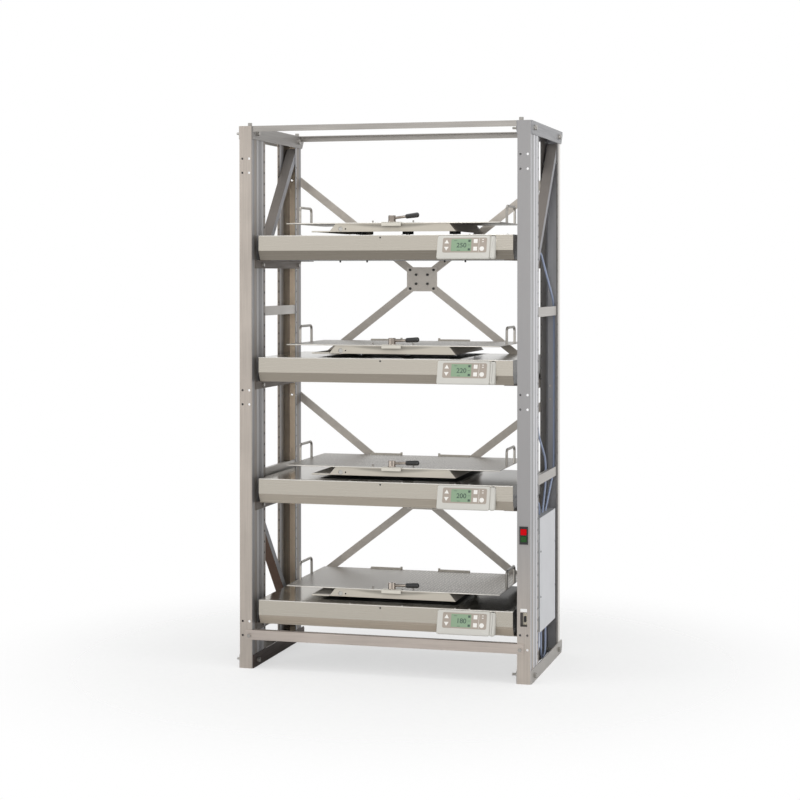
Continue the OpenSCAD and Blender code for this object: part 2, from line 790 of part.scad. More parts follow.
front_left_upright();
front_right_upright();
rear_left_upright();
rear_right_upright();
top_plates();
foot_plates();
front_top_rail();
rear_top_rail();
front_kick_rail();
side_crossbars();
side_diagonals();
rear_brace_arms();
gusset_plates();
frame_bolts();
gusset_bolts();
support_rails();
electrics_cabinet();
cabinet_cover();
side_cables();
switch_block();
stop_button();
start_button();
socket_insert();
base_pans();
drive_motors();
crank_bearings();
display_panels();
deck_cover_1();
deck_cover_2();
deck_cover_3();
deck_cover_4();
console_1();
console_2();
console_3();
console_4();
drive_rotor_1();
drive_rotor_2();
drive_rotor_3();
drive_rotor_4();
left_idler_1();
left_idler_2();
left_idler_3();
left_idler_4();
right_idler_1();
right_idler_2();
right_idler_3();
right_idler_4();
carrier_1();
carrier_2();
carrier_3();
carrier_4();
tray_1();
tray_2();
tray_3();
tray_4();
lock_lever_1();
lock_lever_2();
lock_lever_3();
lock_lever_4();
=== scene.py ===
"""Looks for a steel rack that carries four orbital shakers, one above the other."""

import math

import bmesh
import bpy
import numpy as np
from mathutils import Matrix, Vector


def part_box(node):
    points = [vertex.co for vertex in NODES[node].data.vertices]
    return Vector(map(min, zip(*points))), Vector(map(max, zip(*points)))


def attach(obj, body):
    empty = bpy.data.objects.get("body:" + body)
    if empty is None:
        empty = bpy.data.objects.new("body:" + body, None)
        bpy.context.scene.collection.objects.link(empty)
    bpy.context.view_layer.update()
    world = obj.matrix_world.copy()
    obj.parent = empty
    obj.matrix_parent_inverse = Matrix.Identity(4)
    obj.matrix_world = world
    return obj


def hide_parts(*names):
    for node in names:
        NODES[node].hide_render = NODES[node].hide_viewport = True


bl_info = {
    "name": "Shaker Rack Looks",
    "version": (1, 0, 0),
    "blender": (4, 5, 0),
    "location": "View3D > Sidebar > Shaker Rack",
    "description": "Finishes, consoles, levers, cables and studio for the shaker rack",
    "category": "Object",
}

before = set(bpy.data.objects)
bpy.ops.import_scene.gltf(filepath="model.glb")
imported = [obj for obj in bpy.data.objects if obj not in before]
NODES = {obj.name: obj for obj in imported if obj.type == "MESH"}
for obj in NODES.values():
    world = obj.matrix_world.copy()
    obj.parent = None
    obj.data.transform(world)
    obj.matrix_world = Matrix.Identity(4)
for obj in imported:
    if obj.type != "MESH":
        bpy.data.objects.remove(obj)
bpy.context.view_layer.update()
LEVELS = (1, 2, 3, 4)
X, Y, Z = np.eye(3)
SIDE_X = 0.5425  # middle of a side frame
LEVEL_PITCH = 0.466  # from one shaker to the next
FIRST_DECK = 0.262  # top of the lowest housing
REST_X = 0.0125  # trays at rest stand this far to the right of the drive axes
LEAN_OUT, LEAN_RISE = 0.028, 0.082  # a console's front comes out by the one over the height of the other
SKINS = {}


def srgb(text):
    """sRGB hex to linear RGB: a twelfth of the value in the toe, a power of 2.4 above it."""
    v = np.array([int(text[i:i + 2], 16) for i in (1, 3, 5)]) / 255
    return tuple(float(c) for c in np.where(v <= 0.04045, v / 12.92, ((v + 0.055) / 1.055) ** 2.4))


def rgba(text):
    """sRGB hex to an opaque linear colour."""
    return (*srgb(text), 1)


def tint(name, text, words):
    """A colour property of the sidebar, stored as linear RGB."""
    return bpy.props.FloatVectorProperty(
        name=name, description=words, default=srgb(text), size=3, min=0, max=1, subtype="COLOR")


def length(name, metres, words):
    """A length property of the sidebar, in metres."""
    return bpy.props.FloatProperty(name=name, description=words, default=metres, min=0, unit="LENGTH")


class RackColours(bpy.types.PropertyGroup):
    """Colours of the finishes."""

    frame_steel: tint("Frame steel", "#B3AFAA", "Brushed stainless of crossbars and end plates")
    # Painted highlight laid on the ridges of the upright walls
    ridge_highlight: tint("Ridges", "#DADADD", "Rolled ridges along the upright walls")
    panel_steel: tint("Panel steel", "#BBB5AA", "Brushed stainless of the shaker housings")
    tray_steel: tint("Tray steel", "#9E9A94", "Perforated stainless of the trays")
    bar_steel: tint("Bar steel", "#C4BDB4", "Flat bar of the rear braces")
    # Mill finish of the side diagonals, darkened as painted shade of their faces
    brace_steel: tint("Brace steel", "#655F5A", "Mill finish of the side diagonals")
    carrier: tint("Carrier paint", "#CEC8BC", "Powder coat of the carriers")
    cream: tint("Cream paint", "#DDD9CE", "Paint of the lock blocks")
    console: tint("Console", "#CDCBC4", "Moulded shell of the consoles")
    film: tint("Key film", "#A89D92", "Printed film of the consoles")
    lcd: tint("Display", "#86A183", "Reflective display behind its window")
    cover: tint("Cover paint", "#D2D3D6", "Satin paint of the electrics cover")
    cable: tint("Cable", "#96A2BC", "Smooth jacket of the side cables")


class RackSizes(bpy.types.PropertyGroup):
    """Sizes of the dressed pieces."""

    console_round: length("Console rounding", 0.006, "Radius along the edges of a console shell")
    film_corner: length("Film corner", 0.006, "Corner radius of the key film")
    key_rise: length("Key rise", 0.0006, "Height of a key above the film")
    digit_height: length("Digit height", 0.0185, "Height of the display digits")
    grip_radius: length("Grip radius", 0.0100, "Largest radius of a lever grip")
    cable_diameter: length("Cable diameter", 0.008, "Diameter of the side cables")
    screw_radius: length("Screw radius", 0.004, "Head radius of the small housing screws")


def add(tree, kind, feeds=None, **settings):
    """Adds one shader node, applies its settings, then feeds its sockets with values, sockets or other nodes,
    which stand for the first of their outputs in use."""
    node = tree.nodes.new("ShaderNode" + kind)
    for key, value in settings.items():
        setattr(node, key, value)
    for key, value in (feeds or {}).items():
        if isinstance(value, bpy.types.Node):
            value = next(socket for socket in value.outputs if socket.enabled)
        if isinstance(value, bpy.types.NodeSocket):
            tree.links.new(value, node.inputs[key])
        else:
            node.inputs[key].default_value = value
    return node


def lay(tree, tone, *layers):
    """Lays colours over tone one after the other, each through the product of its masks."""
    for colour, mask, *more in layers:
        for factor in more:
            mask = add(tree, "Math", {0: mask, 1: factor}, operation="MULTIPLY")
        tone = add(tree, "Mix", {0: mask, 6: tone, 7: colour}, data_type="RGBA")
    return tone


def skin(name, colour, metallic, roughness, grain, stretch=(1, 1, 1), tone=0.14, swing=0.1, relief=0.02, patch=None):
    """A finish with its own grain. Noise on Object coordinates, grain mm wide and drawn out by stretch, moves the
    colour by tone, the roughness by swing and the surface by relief mm, and a slow cloud 180 mm wide adds handling
    marks. patch(tree, place, colour, roughness) may lay others over these two and add the tint of a glancing view
    and the share of bare metal."""
    if name in SKINS:
        return SKINS[name]
    material = bpy.data.materials.new(name)
    material.use_nodes = True
    tree = material.node_tree
    tree.nodes.clear()
    place = add(tree, "TexCoord").outputs["Object"]
    scaled = add(tree, "Mapping", {"Vector": place, "Scale": [1000 / (grain * s) for s in stretch]})
    noise = add(tree, "TexNoise", {"Vector": scaled, "Scale": 1.0, "Detail": 4.0})
    cloud = add(tree, "TexNoise", {"Vector": place, "Scale": 1000 / 180, "Detail": 3.0})
    blend = add(tree, "Math", {0: noise, 1: cloud}, operation="ADD")
    swell = add(tree, "MapRange", {0: blend, 1: 0.7, 2: 1.3, 3: 0.0, 4: 1.0})
    base = np.array(colour)
    low, high = np.clip(base * (1 - tone), 0, 1), np.clip(base * (1 + tone * 0.6), 0, 1)
    shade = add(tree, "Mix", {0: swell, 6: (*low, 1), 7: (*high, 1)}, data_type="RGBA")
    gloss = add(tree, "MapRange", {
        0: noise, 1: 0.3, 2: 0.7, 3: max(roughness - swing, 0.05), 4: roughness + swing})
    looks = patch(tree, place, shade, gloss) if patch else (shade, gloss)
    looks = dict(zip(("Base Color", "Roughness", "Specular Tint", "Metallic"), looks))
    bump = add(tree, "Bump", {"Strength": 0.5, "Distance": relief / 1000, "Height": noise})
    shader = add(tree, "BsdfPrincipled", {"Metallic": metallic, "Normal": bump, **looks})
    add(tree, "OutputMaterial", {"Surface": shader})
    SKINS[name] = material
    return material


def coat(material, weight, roughness, shine=0.5):
    """Lays a clear film over a finish and sets its own shine, on the shader's own sockets."""
    for node in material.node_tree.nodes:
        if node.type == "BSDF_PRINCIPLED":
            node.inputs["Coat Weight"].default_value = weight
            node.inputs["Coat Roughness"].default_value = roughness
            node.inputs["Specular IOR Level"].default_value = shine
    return material


def dress(material, *names):
    """Gives a finish to solids of the frame."""
    for name in names:
        slots = NODES[name].data.materials
        slots.clear()
        slots.append(material)


def quads(rows, cols):
    """Faces of a grid whose columns close on themselves: each joins a point, its neighbour and the next row."""
    i, j = np.meshgrid(np.arange(rows - 1), np.arange(cols), indexing="ij")
    k = (j + 1) % cols
    return np.stack([i * cols + j, i * cols + k, (i + 1) * cols + k, (i + 1) * cols + j], -1).reshape(-1, 4)


def flat(grid):
    """Points and faces of one closed grid."""
    return grid.reshape(-1, 3), quads(*grid.shape[:2]).tolist()


def put(name, data):
    """Links a new object that holds the data."""
    thing = bpy.data.objects.new(name, data)
    bpy.context.scene.collection.objects.link(thing)
    return thing


def piece(name, grids, material, body, hides=()):
    """Joins closed grids of points into one mesh, merges their poles, turns the faces outwards and lets it ride."""
    return settle(name, [flat(grid) for grid in grids], 1e-6, True, material, body, hides)


def settle(name, parts, gap, outwards, material, body, hides=()):
    """Joins lists of points and faces into one mesh, merges points closer than gap, and links it at the origin with
    its finish, its body and the solids that it stands for."""
    points, faces, start = [], [], 0
    for co, polygons in parts:
        points.append(co)
        faces += [[i + start for i in polygon] for polygon in polygons]
        start += len(co)
    mesh = bpy.data.meshes.new(name)
    mesh.from_pydata(np.concatenate(points).tolist(), [], faces)
    work = bmesh.new()
    work.from_mesh(mesh)
    bmesh.ops.remove_doubles(work, verts=work.verts, dist=gap)
    if outwards:
        bmesh.ops.recalc_face_normals(work, faces=work.faces)
    work.to_mesh(mesh)
    work.free()
    mesh.polygons.foreach_set("use_smooth", np.ones(len(mesh.polygons), bool))
    mesh.set_sharp_from_angle(angle=math.radians(40))
    mesh.materials.append(material)
    thing = put(name, mesh)
    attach(thing, body)
    if hides:
        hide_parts(*hides)
    return thing


def outline(half_u, half_v, corner, inset=0.0, steps=6):
    """Rounded rectangle: four quarter circles about the corner centres, all drawn in by inset."""
    bend = max(corner - inset, 0.0)
    turn = np.linspace(0, math.pi / 2, steps)
    angle = (np.arange(4)[:, None] * math.pi / 2 + turn).ravel()
    sign_u = np.repeat([1, -1, -1, 1], steps)
    sign_v = np.repeat([1, 1, -1, -1], steps)
    u = sign_u * max(half_u - inset - bend, 0) + bend * np.cos(angle)
    v = sign_v * max(half_v - inset - bend, 0) + bend * np.sin(angle)
    return np.stack([u, v], -1)


def slab(centre, along, up, out, half_u, half_v, depth, corner, round_by, dish=0.0):
    """Plate with rounded corners and front edges: outlines stacked along out, drawn in by a quarter circle
    of round_by at the front, closed to a point behind and in the middle, which may dish in."""
    turn = np.linspace(0, math.pi / 2, 5)
    insets = np.concatenate([[0.0], round_by * (1 - np.cos(turn))])
    heights = np.concatenate([[0.0], depth - round_by + round_by * np.sin(turn)])
    rings = np.stack([outline(half_u, half_v, corner, i) for i in insets])
    flat = np.zeros_like(rings[:1])
    rings = np.concatenate([flat, rings, rings[-1:] * 0.5, flat])
    heights = np.concatenate([[0.0], heights, [depth - dish * 0.75, depth - dish]])
    return (np.asarray(centre) + rings[..., :1] * along + rings[..., 1:] * up
            + heights[:, None, None] * np.asarray(out))


def lathe(centre, axis, side, profile, steps=28):
    """Turned body: radius and height pairs swept round the axis, closed where the radius is nought."""
    profile = np.asarray(profile, float)
    other = np.cross(axis, side)
    angle = np.linspace(0, 2 * math.pi, steps, endpoint=False)
    ring = np.cos(angle)[:, None] * side + np.sin(angle)[:, None] * other
    return np.asarray(centre) + profile[:, :1, None] * ring + profile[:, 1:, None] * np.asarray(axis)


def bead(width, *turns):
    """Profile of a rolled edge for lathe: radius and height pairs at one end, mirrored at the other."""
    return [(0, 0), *turns, *((radius, width - height) for radius, height in reversed(turns)), (0, width)]


def prism(centre, along, up, out, shape, depth):
    """Small raised mark: a flat outline carried out by depth, drawn in a little at its top."""
    shape = np.asarray(shape, float)
    rings = np.stack([shape * 0, shape, shape, shape * 0.94, shape * 0])
    heights = np.array([0, 0, depth * 0.7, depth, depth])
    return (np.asarray(centre) + rings[..., :1] * along + rings[..., 1:] * up
            + heights[:, None, None] * np.asarray(out))


def soft_route(points, reach):
    """Rounds a run of points: each corner becomes a parabola that leaves and meets its legs reach from it."""
    p = np.asarray(points, float)
    s = np.linspace(0, 1, 9)[:, None]
    runs = [p[:1]]
    for a, b, c in zip(p[:-2], p[1:-1], p[2:]):
        back, on = np.linalg.norm(a - b), np.linalg.norm(c - b)
        t = min(reach, back * 0.49, on * 0.49)
        start, end = b + (a - b) / back * t, b + (c - b) / on * t
        runs.append((1 - s) ** 2 * start + 2 * s * (1 - s) * b + s ** 2 * end)
    return np.concatenate(runs + [p[-1:]])


class SHAKER_OT_stage(bpy.types.Operator):
    """Pale floor, white surroundings, soft lamps and the camera"""

    bl_idname = "shaker.stage"
    bl_label = "Stage"

    def execute(self, context):
        scene = context.scene
        scene.view_settings.view_transform = "Standard"
        world = bpy.data.worlds.new("white_studio")
        scene.world = world
        world.use_nodes = True
        tree = world.node_tree
        tree.nodes.clear()
        path = add(tree, "LightPath").outputs
        seen = add(tree, "Math", {0: path["Is Camera Ray"], 1: path["Is Glossy Ray"]}, operation="MAXIMUM")
        seen = add(tree, "Math", {0: seen, 1: path["Is Transmission Ray"]}, operation="MAXIMUM")
        power = add(tree, "MapRange", {0: seen, 3: 0.62, 4: 1.0})
        back = add(tree, "Background", {"Color": (1, 1, 1, 1), "Strength": power})
        add(tree, "OutputWorld", {"Surface": back})
        self.floor()
        middle = Vector((0, 0, 1.05))
        for name, spot, size, watts in (
                ("key_softbox", (1.6, -6.7, 1.7), 1.2, 68), ("left_softbox", (-3.8, -3.0, 2.4), 2.4, 36),
                ("right_softbox", (4.2, -1.2, 2.0), 2.2, 28), ("top_softbox", (0.0, -0.6, 4.4), 2.6, 40)):
            lamp = bpy.data.lights.new(name, "AREA")
            lamp.size = size
            lamp.energy = watts
            thing = put(name, lamp)
            thing.location = spot
            thing.rotation_euler = (middle - Vector(spot)).to_track_quat("-Z", "Y").to_euler()
        lens = bpy.data.cameras.new("photo_camera")
        lens.lens = 84.33
        lens.sensor_width = 36
        lens.sensor_fit = "HORIZONTAL"
        lens.shift_y = -0.13132
        thing = put("photo_camera", lens)
        thing.location = (1.9108, -7.0823, 1.5169)
        thing.rotation_euler = [math.radians(a) for a in (89.333, 0, 15.207)]
        scene.camera = thing
        return {"FINISHED"}

    def floor(self):
        """Round floor, partly see-through for the camera, that goes over to the white surroundings between 0.9
        and 1.9 m from the middle."""
        angle = np.linspace(0, 2 * math.pi, 64, endpoint=False)
        radius = np.array([0.0, 1.0, 2.0, 6.0])[:, None]
        grid = np.stack([radius * np.cos(angle), radius * np.sin(angle), radius * 0 + angle * 0], -1)
        mesh = bpy.data.meshes.new("floor")
        mesh.from_pydata(grid.reshape(-1, 3).tolist(), [], quads(4, 64).tolist())
        # Matt white vinyl: takes a soft shadow and fades out before its rim
        material = bpy.data.materials.new("matt_white_floor")
        material.use_nodes = True
        tree = material.node_tree
        tree.nodes.clear()
        place = add(tree, "TexCoord").outputs["Object"]
        far = add(tree, "VectorMath", {0: place}, operation="LENGTH")
        fade = add(tree, "MapRange", {0: far.outputs["Value"], 1: 0.9, 2: 1.9, 3: 0.6, 4: 1.0},
                   interpolation_type="SMOOTHSTEP")
        direct = add(tree, "LightPath").outputs["Is Camera Ray"]
        fade = add(tree, "Math", {0: fade, 1: direct}, operation="MULTIPLY")
        grain = add(tree, "TexNoise", {"Vector": place, "Scale": 40.0, "Detail": 2.0})
        tone = add(tree, "Mix", {0: grain, 6: (0.90, 0.90, 0.90, 1), 7: (0.94, 0.94, 0.94, 1)},
                   data_type="RGBA")
        matt = add(tree, "BsdfDiffuse", {"Color": tone})
        clear = add(tree, "BsdfTransparent")
        both = add(tree, "MixShader", {0: fade, 1: matt, 2: clear})
        add(tree, "OutputMaterial", {"Surface": both})
        mesh.materials.append(material)
        thing = put("floor", mesh)


class SHAKER_OT_cables(bpy.types.Operator):
    """Cables of the right side frame: two loops under the cabinet and three leads up to the shakers"""

    bl_idname = "shaker.cables"
    bl_label = "Side cables"

    def execute(self, context):
        colours, sizes = context.scene.rack_colours, context.scene.rack_sizes
        # Smooth PVC jacket: even, softly shining, with faint scuffs
        jacket = skin("smooth_pvc_jacket", colours.cable, 0.0, 0.42, 6, tone=0.12)
        low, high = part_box("electrics_cabinet")
        x = SIDE_X
        for number, (front, rear, drop) in enumerate(((-0.085, -0.025, 0.060), (0.025, 0.115, 0.090)), 1):
            radius, middle = (rear - front) / 2, (rear + front) / 2
            turn = np.linspace(0, math.pi, 17)
            arc = np.stack([turn * 0 + x, middle - radius * np.cos(turn), low.z - drop - radius * np.sin(turn)], -1)
            gland = low.z + 0.004
            legs = np.linspace(0, 1, 6)[:-1, None]
            down = np.array([x, front, gland]) * (1 - legs) + arc[0] * legs
            upward = arc[-1] + (np.array([x, rear, gland]) - arc[-1]) * (legs + 0.2)
            self.lead("cable_loop_%d" % number, np.concatenate([down, arc, upward]), jacket, sizes)
        top = high.z - 0.004
        # Level, place of its inlet, and the stops on the way from the cabinet's top
        routes = ((2, -0.09, [(x, -0.01, top), (x, -0.01, 0.628)]),
                  (3, -0.03, [(x, 0.05, top), (x, 0.12, 0.70), (x, 0.12, 0.79), (x, -0.045, 0.91), (x, -0.045, 1.004)]),
                  (4, 0.03, [(x, 0.11, top), (x + 0.0105, 0.235, 0.74), (x + 0.0105, 0.235, 1.40)]))
        for number, (level, inward, stops) in enumerate(routes, 1):
            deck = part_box("deck_cover_%d" % level)[1]
            stops += [(x - 0.004, inward, deck.z - 0.060), (deck.x - 0.003, inward, deck.z - 0.060)]
            self.lead("shaker_lead_%d" % number, soft_route(stops, 0.045), jacket, sizes)
        return {"FINISHED"}

    def lead(self, name, points, jacket, sizes):
        """One open curve through the points, as thick as a cable."""
        curve = bpy.data.curves.new(name, "CURVE")
        curve.dimensions = "3D"
        curve.bevel_depth = sizes.cable_diameter / 2
        curve.bevel_resolution = 4
        curve.use_fill_caps = True
        spline = curve.splines.new("POLY")
        spline.points.add(len(points) - 1)
        spline.points.foreach_set("co", np.c_[points, np.ones(len(points))].ravel())
        spline.use_smooth = True
        curve.materials.append(jacket)
        thing = put(name, curve)
        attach(thing, "rack")
        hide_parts("side_cables")


class SHAKER_OT_steelwork(bpy.types.Operator):
    """Uprights, plates, rails, braces and bolts"""

    bl_idname = "shaker.steelwork"
    bl_label = "Steelwork"

    def execute(self, context):
        colours = context.scene.rack_colours
        # Painted light and shade of the frame: a highlight and shade on the wall ridges, a highlight and a dimmer shade
        # on the rear right upright, shade inside the walls and holes, light on a left flange's back and a cooler shade
        # on the right
        bright = (*colours.ridge_highlight, 1)
        shaded, pale = rgba("#A9A9AC"), rgba("#E6E2DC")
        wall_shade, dim = rgba("#4A4541"), rgba("#5A5652")
        warm, cool = rgba("#F2DFC6"), rgba("#909092")
        hollow = rgba("#3A3A3C")

        def ridges(tree, place, tone, gloss):
            """Depth behind the flange is 300 mm less the distance from the frame's middle. Strips along the wall
            carry a painted highlight on a ridge and painted shade beside it, the walls' inner sides get painted shade,
            fading out between 70 and 105 mm of depth, and the back of a left flange is fully metallic and painted pale
            and warm as painted light where the channel shades it. The right uprights get a cooler, darker painted shade
            between 0.1 and 0.6 m up, and the left walls a painted half shade. The rear right upright has a painted
            highlight on its outer face and painted shade elsewhere, dimmer beyond 36 mm of depth. The wall holes, 42.3
            mm apart from
            130 mm up, are painted dark as shade in and round them."""
            parts = add(tree, "SeparateXYZ", {0: place}).outputs
            shifted = add(tree, "Math", {0: parts["Y"], 1: 0.010}, operation="ADD")
            away = add(tree, "Math", {0: shifted}, operation="ABSOLUTE")
            depth = add(tree, "Math", {0: 0.300, 1: away}, operation="SUBTRACT")
            side = add(tree, "Math", {0: parts["X"]}, operation="ABSOLUTE")
            right, rear, outer, behind, deep = (
                add(tree, "Math", {0: what, 1: limit}, operation="GREATER_THAN") for what, limit in (
                    (parts["X"], 0.0), (parts["Y"], 0.0), (parts["X"], 0.5660), (depth, 0.0035), (depth, 0.036)))
            within, flange, left, inner = (
                add(tree, "Math", {0: what, 1: middle, 2: half}, operation="COMPARE") for what, middle, half in (
                    (side, SIDE_X, 0.0238), (depth, 0.0025, 0.0008), (parts["X"], -SIDE_X, 0.0224),
                    (parts["X"], -0.5180, 0.0012)))
            upper = add(tree, "MapRange", {0: parts["Z"], 1: 0.1, 2: 0.6, 3: 0.0, 4: 0.85})
            layers = [(cool, upper, right)]
            for middle, half, colour in ((0.004, 0.003, bright), (0.018, 0.009, shaded), (0.0675, 0.0105, bright),
                                         (0.095, 0.014, shaded), (0.123, 0.011, bright)):
                layers.append((colour, add(tree, "Math", {0: depth, 1: middle, 2: half}, operation="COMPARE")))
            fade = add(tree, "MapRange", {0: depth, 1: 0.105, 2: 0.070}, interpolation_type="SMOOTHSTEP")
            back = add(tree, "Math", {0: flange, 1: left}, operation="MULTIPLY")
            metal = add(tree, "Mix", {0: back, 2: 0.45, 3: 1.0}, data_type="FLOAT")
            strip = lay(tree, shaded, (pale, outer), (dim, deep))
            up = add(tree, "Math", {0: parts["Z"], 1: 0.10885}, operation="SUBTRACT")
            up = add(tree, "Math", {0: up, 1: 0.0423}, operation="FLOORED_MODULO")
            up = add(tree, "Math", {0: up, 1: 0.02115}, operation="SUBTRACT")
            along = add(tree, "Math", {0: depth, 1: 0.143}, operation="SUBTRACT")
            off = add(tree, "CombineXYZ", {0: up, 1: along})
            off = add(tree, "VectorMath", {0: off}, operation="LENGTH").outputs["Value"]
            hole = add(tree, "Math", {0: off, 1: 0.0052}, operation="LESS_THAN")
            layers += [(wall_shade, within, behind, fade), (warm, back), (wall_shade, inner, 0.5), (strip, rear, right),
                       (hollow, hole)]
            return lay(tree, tone, *layers), gloss, (1, 1, 1, 1), metal

        def edges(tree, place, tone, gloss):
            """Painted shade and highlight: the low channel is darkened brown, and the high ones go darker to their
            tops. Faces that look along the rack's width get a painted highlight, others keep the mill skin."""
            rise = add(tree, "SeparateXYZ", {0: place}).outputs["Z"]
            tops = add(tree, "MapRange", {0: rise, 1: 1.75, 2: 2.03, 3: 0.0, 4: 0.6})
            low = add(tree, "Math", {0: rise, 1: 1.0}, operation="LESS_THAN")
            facing = add(tree, "NewGeometry").outputs["True Normal"]
            across = add(tree, "SeparateXYZ", {0: facing}).outputs["X"]
            across = add(tree, "Math", {0: across}, operation="ABSOLUTE")
            edge = add(tree, "Math", {0: across, 1: 0.7}, operation="GREATER_THAN")
            return lay(tree, tone, (rgba("#3E3C3A"), tops), (rgba("#5A4538"), low), (rgba("#8E8E92"), edge)), gloss

        def shade(tree, place, tone, gloss):
            """The inner face of the left plates gets painted shade, a half shade at the top and a dark brown near the
            floor, and the right plates a cooler, darker painted shade at the top."""
            parts = add(tree, "SeparateXYZ", {0: place}).outputs
            right = add(tree, "Math", {0: parts["X"], 1: 0.0}, operation="GREATER_THAN")
            high = add(tree, "Math", {0: parts["Z"], 1: 1.0}, operation="GREATER_THAN")
            inner = add(tree, "Math", {0: parts["X"], 1: -0.5140, 2: 0.0030}, operation="COMPARE")
            low = add(tree, "Math", {0: parts["Z"], 1: 1.0}, operation="LESS_THAN")
            turned = lay(tree, rgba("#908D8A"), (rgba("#41352F"), low))
            return lay(tree, tone, (cool, right, high), (turned, inner)), gloss

        # Stainless rolled and brushed along its length: grey with a warm cast and long upright streaks
        dress(skin("brushed_stainless_uprights", srgb("#B4ABA2"), 0.45, 0.42, 3, (1, 1, 60), patch=ridges),
              "front_left_upright", "front_right_upright", "rear_left_upright", "rear_right_upright")
        # The same sheet brushed along the rack's width
        dress(skin("brushed_stainless_rails", srgb("#A5A19C"), 0.75, 0.40, 3, (60, 1, 1)),
              "front_top_rail", "rear_top_rail")
        # Rail sheet with a warmer cast, brushed along the rack's width
        dress(skin("brushed_stainless_kick_rail", srgb("#BAB0A8"), 0.6, 0.42, 3, (60, 1, 1)), "front_kick_rail")
        # Brushed flat bar with a warm cast, blotchy where it was handled
        dress(skin("brushed_stainless_bar", colours.bar_steel, 0.35, 0.45, 30, tone=0.16), "rear_brace_arms")
        # Satin plate where the arms cross, paler than the arms as painted light where the housing above shades it
        dress(skin("satin_stainless_gusset", srgb("#D6CFC6"), 0.25, 0.45, 30, tone=0.1), "gusset_plates")
        # The same sheet brushed along the rack's depth
        dress(skin("brushed_stainless_sides", colours.frame_steel, 0.75, 0.40, 3, (1, 60, 1)), "side_crossbars")
        # Duller sheet of the rails under the housings, darkened as painted shade of the housings above
        dress(skin("mill_stainless_rails", srgb("#6E665F"), 0.6, 0.5, 4, (1, 40, 1)), "support_rails")
        # The same sheet, with painted shade on the left inner side, which turns away from the light, and on the right
        # top plates
        dress(skin("brushed_stainless_plates", colours.frame_steel, 0.6, 0.42, 3, (1, 60, 1), patch=shade),
              "top_plates", "foot_plates")
        # Mill finish channel with rolling marks, darker and browner as painted shade, with painted highlights on its
        # cut edges
        dress(skin("mill_stainless_channel", colours.brace_steel, 0.5, 0.5, 5, (1, 8, 8), tone=0.2, patch=edges),
              "side_diagonals")
        # Bright zinc: pale, faintly mottled hex heads
        zinc = skin("bright_zinc", srgb("#A5A29D"), 0.75, 0.3, 2)
        dress(zinc, "frame_bolts")
        # Black oxide: dark socket heads that stand out on the plates
        dress(skin("black_oxide", srgb("#3F3E3C"), 0.6, 0.4, 2, tone=0.3), "gusset_bolts")
        # Ends of the through bolts, 15 mm past the nuts on the left of every upright
        end = [(0, -0.002), (0.0048, -0.002), (0.0048, 0.0135), (0.0038, 0.0150), (0, 0.0150)]
        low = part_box("frame_bolts")[0]
        tails = [lathe((x, y, z), -X, Y, end, 16) for x in (low.x, 0.5035) for y in (-0.258, 0.238)
                 for z in (0.025, 2.055)]
        piece("bolt_ends", tails, zinc, "rack")
        return {"FINISHED"}


